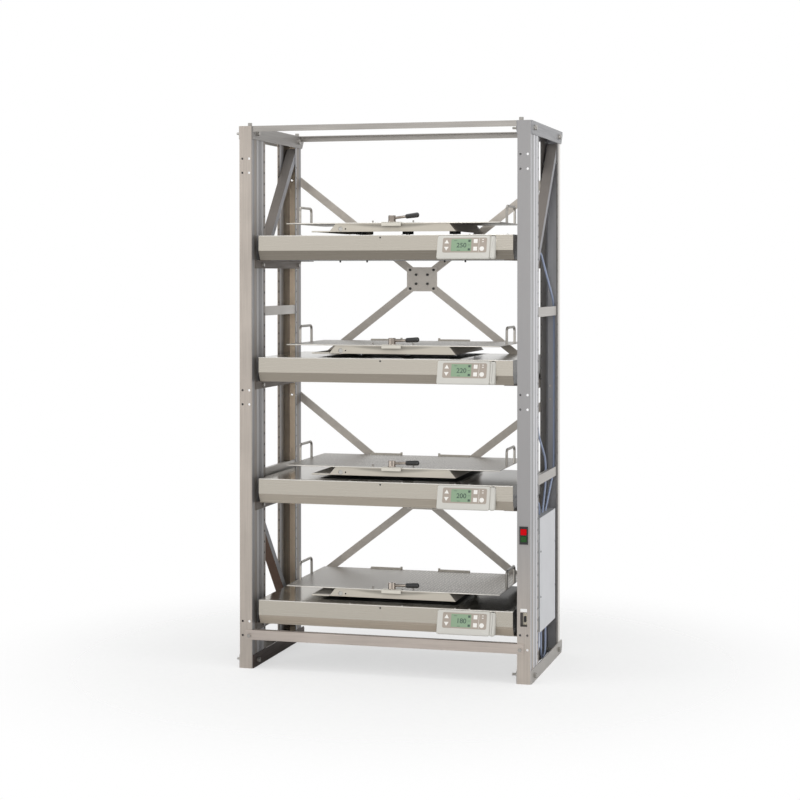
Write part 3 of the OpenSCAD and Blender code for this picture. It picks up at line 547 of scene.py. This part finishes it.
class SHAKER_OT_electrics(bpy.types.Operator):
    """Cabinet, switches, socket and blank plate of the right side frame"""

    bl_idname = "shaker.electrics"
    bl_label = "Electrics"

    def execute(self, context):
        colours = context.scene.rack_colours
        # Satin powder paint: light grey with fine orange peel
        dress(skin("satin_grey_paint", colours.cover, 0.0, 0.45, 2.5, tone=0.06, relief=0.05), "cabinet_cover")
        # The same paint in a darker grey
        dress(skin("satin_dark_grey_paint", srgb("#9C9EA0"), 0.0, 0.5, 2.5, tone=0.08, relief=0.05),
              "electrics_cabinet")
        low, high = (np.array(c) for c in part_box("cabinet_cover"))
        dot = [(0, 0), (0.0036, 0), (0.0036, 0.0012), (0.0022, 0.0020), (0, 0.0020)]
        heads = [lathe((high[0] - 0.0004, y, z), X, Y, dot, 14) for y in (low[1] + 0.007, high[1] - 0.007)
                 for z in (low[2] + 0.1335, high[2] - 0.127)]
        piece("cover_screws", heads, SKINS["black_oxide"], "rack")
        # Moulded black polyamide: dark, with a fine spark-eroded grain
        black = skin("black_polyamide", srgb("#1A1A1B"), 0.0, 0.4, 1.5, tone=0.3, relief=0.05)
        dress(black, "switch_block")
        # Painted sheet inside the recess
        dress(skin("socket_sheet", srgb("#6E6A66"), 0.5, 0.45, 3, tone=0.2), "socket_insert")
        # Clear-faced polycarbonate caps: strong colour with a shine
        red = coat(skin("red_polycarbonate", srgb("#CC0814"), 0.0, 0.3, 4, tone=0.1, relief=0.01), 0.02, 0.1, 0.05)
        green = coat(skin("green_polycarbonate", srgb("#275226"), 0.0, 0.3, 4, tone=0.15, relief=0.01), 0.08, 0.1, 0.15)
        for node, material, slot in (("stop_button", red, "red_plastic"), ("start_button", green, "green_plastic")):
            low, high = (np.array(c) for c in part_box(node))
            middle = (low + high) / 2
            middle[1] = high[1]
            half = (high - low) / 2
            piece(node + "_cap", [slab(middle, X, Z, -Y, half[0], half[2], high[1] - low[1], 0.002, 0.0018, 0.0012)],
                  material, node, (node,))
        low, high = (np.array(c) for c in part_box("socket_insert"))
        middle = np.array([(low[0] + high[0]) / 2, low[1] + 0.0158, (low[2] + high[2]) / 2])
        # Nickel plated connector flange and its dark insulator
        nickel = skin("nickel_plate", srgb("#BDB6A6"), 0.8, 0.3, 2)
        plate = [slab(middle + X * 0.0025, X, Z, -Y, 0.0075, 0.0225, 0.0020, 0.002, 0.0004)]
        plate += [lathe(middle + X * 0.0025 + Z * s * 0.0185 - Y * 0.0018, -Y, X,
                        [(0, 0), (0.0028, 0), (0.0028, 0.003), (0.0018, 0.0035), (0, 0.0035)], 12) for s in (-1, 1)]
        piece("socket_flange", plate, nickel, "rack")
        core = slab(middle + X * 0.0025 - Y * 0.0016, X, Z, -Y, 0.0046, 0.0115, 0.0050, 0.003, 0.0008)
        piece("socket_insulator", [core], black, "rack")
        # Bare white film plate, satin
        bare = skin("white_film", srgb("#ECECEA"), 0.0, 0.4, 3, tone=0.05, relief=0.005)
        top = np.array([middle[0], low[1] - 0.0025, middle[2] + 0.0345])
        piece("blank_plate", [slab(top, X, Z, -Y, 0.0125, 0.0058, 0.0006, 0.0015, 0.0003)], bare, "rack")
        return {"FINISHED"}


class SHAKER_OT_housings(bpy.types.Operator):
    """Shaker housings, pans, drives and their small screws"""

    bl_idname = "shaker.housings"
    bl_label = "Housings"

    def execute(self, context):
        colours, sizes = context.scene.rack_colours, context.scene.rack_sizes
        # The deck's colour, then painted shade for the deck's right end, for the end skirts and for the deck under the
        # carrier
        deck, corner, skirt, carrier_shade = ((*(c * share for c in colours.panel_steel), 1) for share in (1.1, 0.22, 0.16, 0.05))
        # Painted reflection of the chamfer: paler near the floor, darker higher up
        floorward, upper = rgba("#B9B0A2"), rgba("#817A6F")

        def faces(tree, place, tone, gloss):
            """The chamfer below the crease, 57 mm down, is less metallic and carries a painted reflection that is paler
            low down and darker the higher the level. The deck is polished, but painted black and rough under the
            carrier as painted shade, painted darker with a darker reflection at the right end the lower the level, and
            the end skirts are painted nearly black as shade."""
            parts = add(tree, "SeparateXYZ", {0: place}).outputs
            lift = add(tree, "Math", {0: parts["Z"], 1: 0.0005 - FIRST_DECK}, operation="ADD")
            height = add(tree, "Math", {0: lift, 1: LEVEL_PITCH}, operation="FLOORED_MODULO")
            side = add(tree, "Math", {0: parts["X"]}, operation="ABSOLUTE")
            top = add(tree, "Math", {0: height, 1: 0.001}, operation="LESS_THAN")
            front = add(tree, "Math", {0: parts["Y"], 1: -0.272}, operation="GREATER_THAN")
            top = add(tree, "Math", {0: top, 1: front}, operation="MULTIPLY")
            low = add(tree, "Math", {0: height, 1: 0.3885, 2: 0.0205}, operation="COMPARE")
            end = add(tree, "Math", {0: side, 1: 0.4974}, operation="GREATER_THAN")
            rise, wide, deep, away, first = (
                add(tree, "MapRange", {0: what, 1: none, 2: full}) for what, none, full in (
                    (parts["Z"], 0.2, 1.6), (side, 0.285, 0.260), (parts["Y"], -0.230, -0.205),
                    (parts["X"], 0.25, 0.36), (parts["Z"], 1.1, 0.3)))
            chamfer = lay(tree, floorward, (upper, rise))
            under, away = (add(tree, "Math", {0: one, 1: other}, operation="MULTIPLY")
                           for one, other in ((wide, deep), (away, first)))
            under, away = (add(tree, "Math", {0: mask, 1: top}, operation="MULTIPLY") for mask in (under, away))
            tone = lay(tree, tone, (deck, top), (corner, away), (carrier_shade, under), (chamfer, low), (skirt, end))
            for mask, value in ((top, 0.14), (under, 0.6)):
                gloss = add(tree, "Mix", {0: mask, 2: gloss, 3: value}, data_type="FLOAT")
            metal = add(tree, "Mix", {0: low, 2: 0.8, 3: 0.4}, data_type="FLOAT")
            rim = lay(tree, (1, 1, 1, 1), ((0.75, 0.75, 0.75, 1), top), ((0.3, 0.3, 0.3, 1), away))
            return tone, gloss, rim, metal

        # Satin stainless sheet: warm and smooth, its deck clear enough to mirror what stands on it
        dress(skin("satin_stainless_housing", colours.panel_steel, 0.8, 0.27, 1.5, (150, 1, 1), tone=0.01, swing=0.005,
                   relief=0.0005, patch=faces), *("deck_cover_%d" % k for k in LEVELS))
        # Rolled sheet edge: a real rounded edge, paler than the sheet as a painted highlight, that reads as one thin
        # bright line
        bend = skin("rolled_edge_highlight", srgb("#E6E3DC"), 0.4, 0.3, 3, (60, 1, 1), tone=0.05, relief=0.004)
        # Galvanised sheet: mid grey with broad spangle
        dress(skin("galvanised_pan", srgb("#8F9092"), 0.7, 0.5, 12, tone=0.25), "base_pans", "crank_bearings")
        # Sand casting under dark paint: matt and rough
        dress(skin("painted_motor_casting", srgb("#3A3B3D"), 0.0, 0.6, 4, tone=0.3, relief=0.1), "drive_motors")
        # Turned steel: grey and bright, with fine tool marks
        dress(skin("turned_crank_steel", srgb("#929294"), 0.9, 0.3, 2, (1, 1, 8)),
              *("%s_%d" % (n, k) for n in ("drive_rotor", "left_idler", "right_idler") for k in LEVELS))
        zinc, oxide = SKINS["bright_zinc"], SKINS["black_oxide"]
        r = sizes.screw_radius
        head = [(0, 0), (r, 0), (r, r * 0.25), (r * 0.8, r * 0.6), (r * 0.3, r * 0.75), (0, r * 0.75)]
        stud = [(0, -0.001), (0.0036, -0.001), (0.0036, 0.0075), (0.0028, 0.0085), (0, 0.0085)]
        stopper = [(0, 0), (0.0034, 0), (0.0034, 0.0010), (0.0026, 0.0016), (0, 0.0016)]
        rolled, stoppers = [], []
        for k in LEVELS:
            low, high = (np.array(c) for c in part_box("deck_cover_%d" % k))
            stoppers.append(lathe((-0.013, low[1] + 0.0004, high[2] - 0.009), -Y, X, stopper, 16))
            x = np.array([-0.330, -0.135, 0.070, 0.275, 0.330, 0.475])
            heads = [lathe((u, low[1] + 0.010, high[2]), Z, X, head, 12) for u in x]
            piece("housing_screws_%d" % k, heads, zinc, "rack")
            studs = [lathe((u, -0.07, low[2]), -Z, X, stud, 10) for u in (-0.237, -0.128, 0.183, 0.265)]
            piece("pan_studs_%d" % k, studs, oxide, "rack")
            # Rolled front edge of the deck, paler as a painted highlight
            roll = bead(high[0] - low[0], (0.0010, 0.0001), (0.0015, 0.0010))
            rolled.append(lathe((low[0], low[1] + 0.0009, high[2] - 0.0009), X, Z, roll, 16))
        piece("housing_edges", rolled, bend, "rack")
        piece("panel_plugs", stoppers, SKINS["black_polyamide"], "rack")
        return {"FINISHED"}


class SHAKER_OT_carriers(bpy.types.Operator):
    """Cream carriers with their dark bearing side and front plugs"""

    bl_idname = "shaker.carriers"
    bl_label = "Carriers"

    def execute(self, context):
        colours = context.scene.rack_colours
        # Colours laid over the cream: black bosses, a grey painted shade on faces that don't look ahead, and a pale
        # painted light on the wing
        dark, steel, light = rgba("#161616"), rgba("#A09A93"), rgba("#F1EDE6")
        # Painted shade of the lens under the tray's front edge
        lens_shade = (*(c * 0.55 for c in colours.carrier), 1)

        def bearing_side(tree, place, tone, gloss):
            """The front plate and the rear hold-downs are cream, the wing is painted pale as painted light where the
            tray shades it, and the rest is a rougher grey as painted shade. The bearing bosses, below the top wall and
            within
            30 mm of the pins' row, are black. A lens of painted shade hangs from the front plate's upper edge: 1 less
            the squared share of 190 mm from the middle, less a share of 20 mm down from that edge."""
            parts = add(tree, "SeparateXYZ", {0: place}).outputs
            lift = add(tree, "Math", {0: parts["Z"], 1: -FIRST_DECK}, operation="ADD")
            height = add(tree, "Math", {0: lift, 1: LEVEL_PITCH}, operation="FLOORED_MODULO")
            across = add(tree, "MapRange", {0: parts["X"], 1: -0.1775, 2: 0.2025, 3: -1.0, 4: 1.0}, clamp=False)
            bow = add(tree, "Math", {0: across, 1: across}, operation="MULTIPLY")
            drop = add(tree, "MapRange", {0: height, 1: 0.044, 2: 0.024, 3: 1.0, 4: 0.0}, clamp=False)
            lens = add(tree, "Math", {0: drop, 1: bow}, operation="SUBTRACT")
            lens = add(tree, "MapRange", {0: lens, 2: 0.6}, interpolation_type="SMOOTHSTEP")
            lip = add(tree, "Math", {0: height, 1: 0.0425}, operation="LESS_THAN")
            facing = add(tree, "NewGeometry").outputs["True Normal"]
            facing = add(tree, "SeparateXYZ", {0: facing}).outputs["Y"]
            turned = add(tree, "Math", {0: facing, 1: -0.5}, operation="GREATER_THAN")
            ahead = add(tree, "Math", {0: parts["Y"], 1: 0.2615}, operation="LESS_THAN")
            bare = add(tree, "Math", {0: turned, 1: ahead}, operation="MULTIPLY")
            under = add(tree, "Math", {0: height, 1: 0.0438}, operation="LESS_THAN")
            wide = add(tree, "Math", {0: parts["X"], 1: REST_X, 2: 0.215}, operation="COMPARE")
            deep = add(tree, "Math", {0: parts["Y"], 1: 0.022, 2: 0.030}, operation="COMPARE")
            wing = add(tree, "Math", {0: parts["X"], 1: -0.2375}, operation="LESS_THAN")
            tone = lay(tree, tone, (lens_shade, lens, lip), (steel, bare), (dark, wide, deep, under), (light, wing))
            return tone, add(tree, "Mix", {0: bare, 2: gloss, 3: 0.6}, data_type="FLOAT")

        # Powder coat: warm cream, satin, with a fine orange peel
        dress(skin("cream_powder_coat", colours.carrier, 0.0, 0.42, 2.5, tone=0.05, relief=0.06, patch=bearing_side),
              *("carrier_%d" % k for k in LEVELS))
        # Moulded plastic: pale grey and satin
        plug = skin("grey_plug_plastic", srgb("#C9C8C4"), 0.0, 0.4, 2, tone=0.1)
        # Lighter coat of the lock blocks and of the wing's rolled front lip
        pale = skin("cream_lock_paint", colours.cream, 0.0, 0.42, 2.5, tone=0.05, relief=0.06)
        lip = bead(0.0700, (0.0020, 0.0003), (0.0028, 0.0015))
        for k in LEVELS:
            low = np.array(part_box("carrier_%d" % k)[0])
            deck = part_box("deck_cover_%d" % k)[1].z
            piece("wing_lip_%d" % k, [lathe((-0.3075, -0.2165, deck + 0.0163), X, Z, lip, 16)],
                  pale, "carrier_%d" % k)
            centre = np.array([-0.1915, low[1] + 0.0030, low[2] + 0.017])
            rim = [(0, 0), (0.0084, 0), (0.0084, 0.0022), (0.0072, 0.0026), (0.0066, 0.0016), (0, 0.0014)]
            piece("carrier_plug_%d" % k, [lathe(centre, -Y, X, rim, 24)], plug, "carrier_%d" % k)
        return {"FINISHED"}


class SHAKER_OT_trays(bpy.types.Operator):
    """Perforated trays with cream lock blocks"""

    bl_idname = "shaker.trays"
    bl_label = "Trays"

    def execute(self, context):
        colours = context.scene.rack_colours

        def dots(tree, place, tone, gloss):
            """A lattice 14 mm apart with pale dots 6 mm wide, painted highlights as of small countersunk holes that
            catch the light.
            """
            lattice = add(tree, "TexVoronoi", {"Vector": place, "Scale": 1000 / 14, "Randomness": 0.45},
                          voronoi_dimensions="2D")
            dot = add(tree, "Math", {0: lattice.outputs["Distance"], 1: 0.21}, operation="LESS_THAN")
            pale = (*(min(c * 2.2, 1) for c in colours.tray_steel), 1)
            return lay(tree, tone, (pale, dot)), gloss

        # Fine perforated stainless: even grey with painted highlight dots, catching the light along its edges
        dress(skin("perforated_stainless", colours.tray_steel, 0.6, 0.38, 4, (30, 1, 1), tone=0.06, patch=dots),
              *("tray_%d" % k for k in LEVELS))
        cream = SKINS["cream_lock_paint"]
        for k in LEVELS:
            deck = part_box("deck_cover_%d" % k)[1].z
            grids = [slab((REST_X, -0.211, deck + 0.0490), X, Y, Z, 0.0384, 0.0174, 0.0024, 0.003, 0.0010),
                     slab((REST_X, -0.2278, deck + 0.0432), X, Z, -Y, 0.0384, 0.0068, 0.0006, 0.002, 0.0003)]
            piece("lock_block_%d" % k, grids, cream, "tray_%d" % k)
            # Rolled front edge of the tray, paler as a painted highlight
            roll = bead(0.842, (0.0014, 0.0002), (0.0022, 0.0012))
            edge = lathe((-0.4085, -0.2197, deck + 0.0474), X, Z, roll, 16)
            piece("tray_edge_%d" % k, [edge], SKINS["rolled_edge_highlight"], "tray_%d" % k)
        return {"FINISHED"}


class SHAKER_OT_levers(bpy.types.Operator):
    """Lock levers: turned hub and rod with a black grip"""

    bl_idname = "shaker.levers"
    bl_label = "Levers"

    def execute(self, context):
        g = context.scene.rack_sizes.grip_radius
        # Turned stainless: bright bands round the hub and rod
        steel = skin("turned_stainless", srgb("#9A9188"), 1.0, 0.18, 1.5, (6, 6, 1))
        # Pressed phenolic: deep black with a soft shine
        phenolic = coat(skin("black_phenolic", srgb("#141414"), 0.0, 0.32, 2, tone=0.3, relief=0.02), 0.3, 0.2)
        hub = [(0, 0.0008), (0.0152, 0.0008), (0.0152, 0.004), (0.0145, 0.005), (0.0145, 0.023), (0.0130, 0.0252),
               (0.0060, 0.0252), (0.0060, 0.0215), (0, 0.0215)]
        rod = [(0, 0.008), (0.0050, 0.008), (0.0050, 0.052), (0.0056, 0.053), (0.0056, 0.0565), (0, 0.0565)]
        swell = np.linspace(0, 1, 25)
        # Grip radius rises evenly from 0.86 to 1 of its largest, with quarter ellipses over its first 8 and last 16 %
        radius = g * (0.86 + 0.14 * swell)
        radius = radius * np.sqrt(np.clip(1 - (np.maximum(swell - 0.84, 0) / 0.16) ** 2, 0, 1))
        radius = radius * np.sqrt(np.clip(1 - (np.maximum(0.08 - swell, 0) / 0.08) ** 2, 0.3, 1))
        grip = np.stack([radius, 0.0535 + swell * 0.0545], -1)
        grip = np.concatenate([[[0, 0.0535]], grip])
        for k, degrees in zip(LEVELS, (2, 2, 3, 7)):
            tilt = math.radians(degrees)
            along = math.cos(tilt) * X + math.sin(tilt) * Z
            seat = np.array([REST_X, -0.214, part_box("deck_cover_%d" % k)[1].z + 0.0511])
            arm = seat + Z * 0.014
            body = "lock_lever_%d" % k
            piece("lever_steel_%d" % k, [lathe(seat, Z, X, hub, 36), lathe(arm, along, Y, rod, 20)],
                  steel, body, (body,))
            piece("lever_grip_%d" % k, [lathe(arm, along, Y, grip, 28)], phenolic, body)
        return {"FINISHED"}


class SHAKER_OT_consoles(bpy.types.Operator):
    """Tilted consoles: moulded shells, key film, display windows, digits and keys"""

    bl_idname = "shaker.consoles"
    bl_label = "Consoles"

    def execute(self, context):
        colours, sizes = context.scene.rack_colours, context.scene.rack_sizes
        # Moulded ABS: warm white, satin, faint mould texture
        shell = skin("warm_white_abs", colours.console, 0.0, 0.38, 2, tone=0.04, relief=0.03)
        # Printed polyester film: matt and even
        film = skin("printed_polyester_film", colours.film, 0.0, 0.5, 1.5, tone=0.06, relief=0.01)
        # Reflective liquid crystal: pale green under a clear window
        glass = coat(skin("green_liquid_crystal", colours.lcd, 0.0, 0.45, 1.2, tone=0.06, relief=0.0), 0.6, 0.05)
        # Darkened crystal of the digits: matt green-grey
        ink = skin("display_ink", srgb("#43554A"), 0.0, 0.5, 1.0, tone=0.15, relief=0.0)
        # White print of the keys: even and satin
        keys = skin("white_key_print", srgb("#EFEDE8"), 0.0, 0.45, 2, tone=0.04, relief=0.0)
        slope = math.atan2(LEAN_OUT, LEAN_RISE)
        up = math.cos(slope) * Z + math.sin(slope) * Y
        out = math.sin(slope) * Z - math.cos(slope) * Y
        turn = np.linspace(0, 2 * math.pi, 24, endpoint=False)
        three = np.array([[0, 0.0075], [-0.0088, -0.0075], [0.0088, -0.0075]])
        square = outline(0.0073, 0.0077, 0.0012, 0, 3)
        ring = 0.0088 * np.stack([np.cos(turn), np.sin(turn)], -1)
        lamp = outline(0.0030, 0.0016, 0.0008, 0, 2)
        rule = outline(0.0005, 0.0260, 0.0003, 0, 2)
        small = outline(0.0044, 0.0042, 0.0006, 0, 2)
        dash = outline(0.0058, 0.0007, 0.0003, 0, 2)
        films, windows, digits, marks = [], [], [], []
        for k, reading in zip(LEVELS, ("180", "200", "220", "250")):
            low, high = (np.array(c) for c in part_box("console_%d" % k))
            body, end = high.copy(), low.copy()
            body[0] -= 0.018
            end[0] = body[0] - 0.001
            cap = [self.shell(end, high + X * 0.002, sizes.console_round * 1.8)]
            piece("console_shell_%d" % k, [self.shell(low, body, sizes.console_round)] + cap, shell, "rack",
                  ("console_%d" % k,))
            corner = np.array([low[0] + 0.022, high[1] - 0.002, high[2]]) - up * 0.009

            def at(u, v, lift):
                """Point of the key film, u across and v down as shares of 168 by 58 mm, lifted off it."""
                return corner + X * u * 0.168 - up * v * 0.058 + out * lift

            films.append(slab(at(0.5, 0.5, -0.0002), X, up, out, 0.084, 0.029, 0.0010, sizes.film_corner, 0.0004))
            windows.append(slab(at(0.423, 0.5, 0.0007), X, up, out, 0.0382, 0.0243, 0.0006, 0.0012, 0.0002))
            digits.append(self.number(reading, at(0.43, 0.53, 0.0014), up, out, sizes.digit_height))
            for u, v, shape in ((0.09, 0.26, three), (0.09, 0.75, -three), (0.745, 0.24, square), (0.745, 0.75, square),
                                (0.895, 0.75, ring), (0.91, 0.13, lamp), (0.91, 0.28, lamp), (0.825, 0.5, rule)):
                marks.append(prism(at(u, v, 0.0007), X, up, out, shape, sizes.key_rise))
            for u, v, shape in ((0.605, 0.22, small), (0.605, 0.80, small), (0.60, 0.5, dash * 0.8), (0.29, 0.20, dash),
                                (0.37, 0.86, dash)):
                digits.append(flat(prism(at(u, v, 0.0012), X, up, out, shape, 0.0003)))
        piece("key_films", films, film, "rack", ("display_panels",))
        piece("display_windows", windows, glass, "rack")
        piece("key_marks", marks, keys, "rack")
        settle("display_digits", digits, 1e-7, False, ink, "rack")
        return {"FINISHED"}

    def shell(self, low, high, bend):
        """Wedge: rounded outlines from the flat back to the tilted front, which comes out by 28 mm in 82,
        and a quarter circle of bend between side and front."""
        half = (high - low) / 2
        centre = (high + low) / 2
        turn = np.linspace(0, math.pi / 2, 7)
        insets = np.concatenate([[0.0, 0.0], bend * (1 - np.cos(turn))])
        backs = np.concatenate([[np.nan, bend], bend * (1 - np.sin(turn))])
        rings = np.stack([outline(half[0], half[2], 0.008, i, 8) for i in insets])
        rings = np.concatenate([rings[:1] * 0, rings, rings[-1:] * 0])
        backs = np.concatenate([[np.nan], backs, [0.0]])[:, None]
        z = rings[..., 1] + centre[2]
        front = high[1] - 0.002 - LEAN_OUT * np.clip((high[2] - z) / LEAN_RISE, 0, 1)
        y = np.where(np.isnan(backs), high[1], np.minimum(front + np.nan_to_num(backs), high[1]))
        return np.stack([rings[..., 0] + centre[0], y, z], -1)

    def number(self, text, centre, up, out, height):
        """Digits from the built-in letterforms, made a thin mesh and laid on the display."""
        curve = bpy.data.curves.new("digits", "FONT")
        curve.body = text
        curve.align_x = "CENTER"
        curve.align_y = "CENTER"
        curve.size = height * 1.38
        curve.extrude = 0.00015
        curve.offset = 0.0003
        thing = put("digits", curve)
        bpy.context.view_layer.update()
        mesh = bpy.data.meshes.new_from_object(thing.evaluated_get(bpy.context.evaluated_depsgraph_get()))
        co = np.empty(len(mesh.vertices) * 3)
        mesh.vertices.foreach_get("co", co)
        co = co.reshape(-1, 3)
        faces = [list(p.vertices) for p in mesh.polygons]
        bpy.data.objects.remove(thing)
        bpy.data.meshes.remove(mesh)
        bpy.data.curves.remove(curve)
        return centre + co[:, :1] * X + co[:, 1:2] * up + co[:, 2:] * out, faces


OPERATORS = (SHAKER_OT_stage, SHAKER_OT_cables, SHAKER_OT_steelwork, SHAKER_OT_electrics, SHAKER_OT_housings,
             SHAKER_OT_carriers, SHAKER_OT_trays, SHAKER_OT_levers, SHAKER_OT_consoles)


class SHAKER_PT_panel(bpy.types.Panel):
    """Lists the rack's operators and settings"""

    bl_idname = "SHAKER_PT_panel"
    bl_label = "Shaker Rack"
    bl_space_type = "VIEW_3D"
    bl_region_type = "UI"
    bl_category = "Shaker Rack"

    def draw(self, context):
        for settings in (context.scene.rack_colours, context.scene.rack_sizes):
            for key in settings.__annotations__:
                self.layout.prop(settings, key)
        for operator in OPERATORS:
            self.layout.operator(operator.bl_idname)


CLASSES = (RackColours, RackSizes, *OPERATORS, SHAKER_PT_panel)


def register():
    for each in CLASSES:
        bpy.utils.register_class(each)
    bpy.types.Scene.rack_colours = bpy.props.PointerProperty(type=RackColours)
    bpy.types.Scene.rack_sizes = bpy.props.PointerProperty(type=RackSizes)


def unregister():
    del bpy.types.Scene.rack_sizes
    del bpy.types.Scene.rack_colours
    for each in reversed(CLASSES):
        bpy.utils.unregister_class(each)


def main():
    """Makes the stage and every piece."""
    register()
    bpy.ops.shaker.stage()
    bpy.ops.shaker.cables()
    bpy.ops.shaker.steelwork()
    bpy.ops.shaker.electrics()
    bpy.ops.shaker.housings()
    bpy.ops.shaker.carriers()
    bpy.ops.shaker.trays()
    bpy.ops.shaker.levers()
    bpy.ops.shaker.consoles()


if __name__ == "__main__":
    main()
